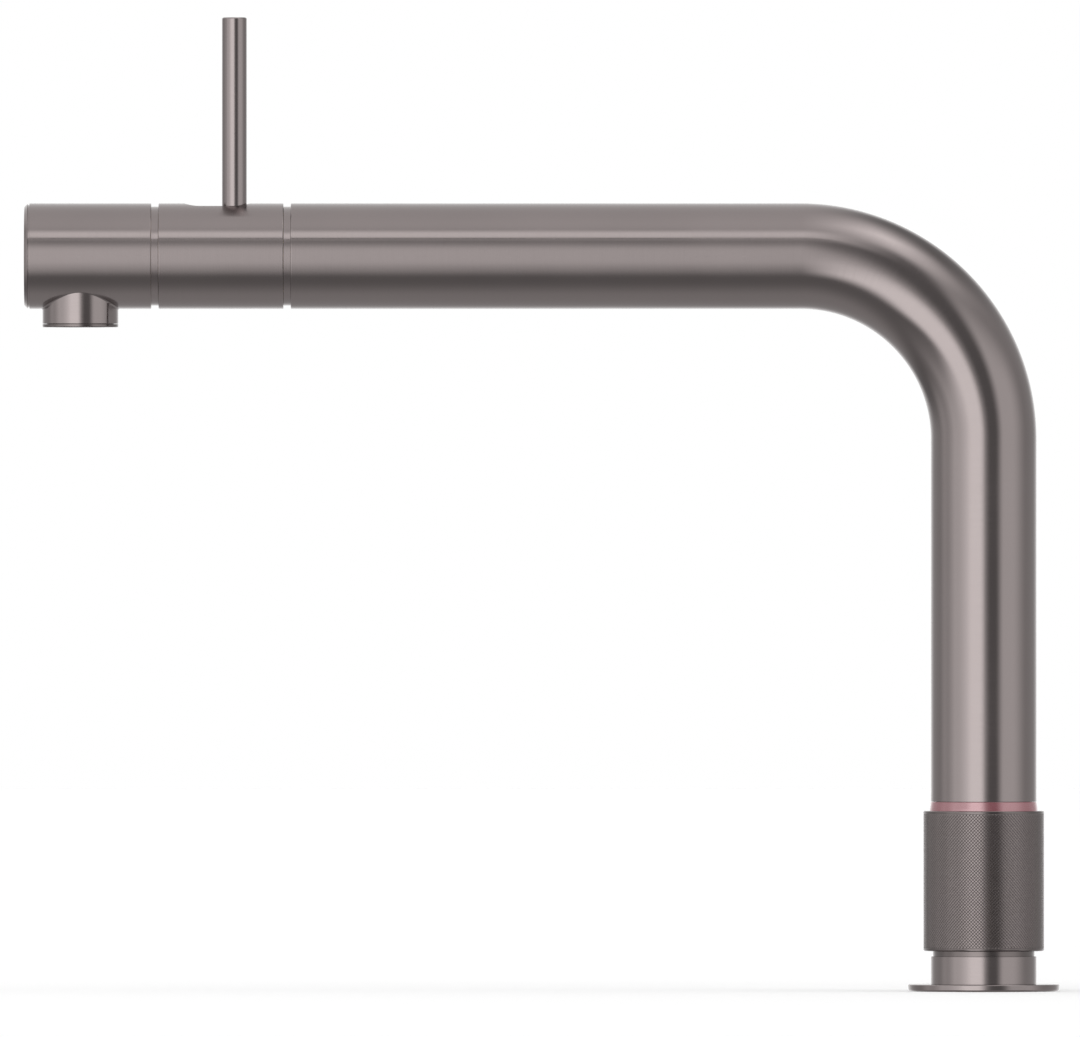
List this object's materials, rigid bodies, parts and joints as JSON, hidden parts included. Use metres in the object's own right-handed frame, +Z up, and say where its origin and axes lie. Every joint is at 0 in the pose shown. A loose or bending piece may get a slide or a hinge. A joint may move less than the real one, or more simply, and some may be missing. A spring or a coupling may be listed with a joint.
{
  "type": "boiling water tap",
  "caption": "Kitchen tap for boiling, hot and cold water: swivelling round spout with a tilting pin lever near its tip and a knurled push-and-turn ring at its base.",
  "frame": {"origin": "centre of the flange's underside, on the column's axis, where the tap sits on the worktop", "axes": "+Z up the column; the arm points along -X and the lever stands along +Z"},
  "size_m": [0.315, 0.048, 0.3504],
  "materials": {
    "satin_gunmetal": "satin brushed, warm grey",
    "dark_gunmetal": "fine knurl, satin",
    "brass": "machined",
    "steel": "bright machined",
    "white_plastic": "moulded",
    "black_rubber": "moulded",
    "glow_ring": "translucent, moulded",
    "circuit_board": "lacquered board",
    "ceramic": "ground and lapped"
  },
  "bodies": {
    "base": {"mount_shank": "brass", "shank_nut": "brass", "pressure_washer": "steel", "rubber_washer": "black_rubber", "flange": "satin_gunmetal", "flange_seal": "black_rubber", "base_body": "satin_gunmetal", "return_spring": "steel", "sensor_board": "circuit_board", "carrier_circlip": "steel", "led_board": "circuit_board", "led_chips": "ceramic", "light_ring": "glow_ring", "swivel_spigot": "steel", "lower_bearing": "white_plastic", "upper_bearing": "white_plastic", "spigot_seals": "black_rubber", "swivel_stop": "steel", "spigot_circlip": "steel"},
    "ring_slider": {"ring_carrier": "white_plastic", "turn_stop": "steel"},
    "boil_ring": {"control_ring": "dark_gunmetal", "ring_retainer": "steel", "ring_magnets": "steel"},
    "spout": {"spout_tube": "satin_gunmetal", "spout_collar": "brass", "hot_tube": "steel", "cold_tube": "steel", "boiling_tube": "steel", "inlet_manifold": "brass", "tube_spacers": "white_plastic", "valve_body": "brass", "cartridge_housing": "white_plastic", "cartridge_nut": "steel", "cartridge_seal": "black_rubber", "fixed_disc": "ceramic", "outlet_body": "brass", "outlet_screws": "steel", "boiling_nozzle": "steel", "tip_housing": "satin_gunmetal", "tip_cap": "satin_gunmetal", "aerator_housing": "dark_gunmetal", "flow_straightener": "white_plastic", "aerator_screen": "steel", "aerator_seal": "black_rubber"},
    "mixer": {"mixer_sleeve": "satin_gunmetal", "sleeve_bearings": "white_plastic", "cartridge_turret": "white_plastic", "pivot_pin": "steel"},
    "valve_disc": {"disc_carrier": "white_plastic", "moving_disc": "ceramic"},
    "lever": {"lever_rod": "satin_gunmetal", "lever_hub": "brass", "lever_stud": "steel", "cartridge_stem": "steel"}
  },
  "joints": [
    {"name": "spout_swivel", "type": "hinge", "parent": "base", "child": "spout", "pos_m": [0, 0, 0.08], "axis": [0, 0, 1], "range_deg": [-135, 135]},
    {"name": "ring_push", "type": "slide", "parent": "base", "child": "ring_slider", "axis": [0, 0, -1], "range_m": [0, 0.003], "stiffness_N_per_m": 1000, "springref_m": -0.005, "deforming": ["return_spring"]},
    {"name": "ring_turn", "type": "hinge", "parent": "ring_slider", "child": "boil_ring", "pos_m": [0, 0, 0.033], "axis": [0, 0, 1], "range_deg": [0, 90], "stiffness_Nm_per_rad": 0.05, "springref_deg": -45.84},
    {"name": "temperature_turn", "type": "hinge", "parent": "spout", "child": "mixer", "pos_m": [-0.2313, 0, 0.223], "axis": [1, 0, 0], "range_deg": [-45, 45]},
    {"name": "flow_tilt", "type": "hinge", "parent": "mixer", "child": "lever", "pos_m": [-0.221, 0, 0.223], "axis": [0, -1, 0], "range_deg": [0, 28]},
    {"name": "disc_slide", "type": "slide", "parent": "mixer", "child": "valve_disc", "axis": [0, 0, 1], "range_m": [0, 0.0025]}
  ],
  "couplings": [
    {"joint": "disc_slide", "follows": "flow_tilt", "m_per_rad": 0.005}
  ]
}
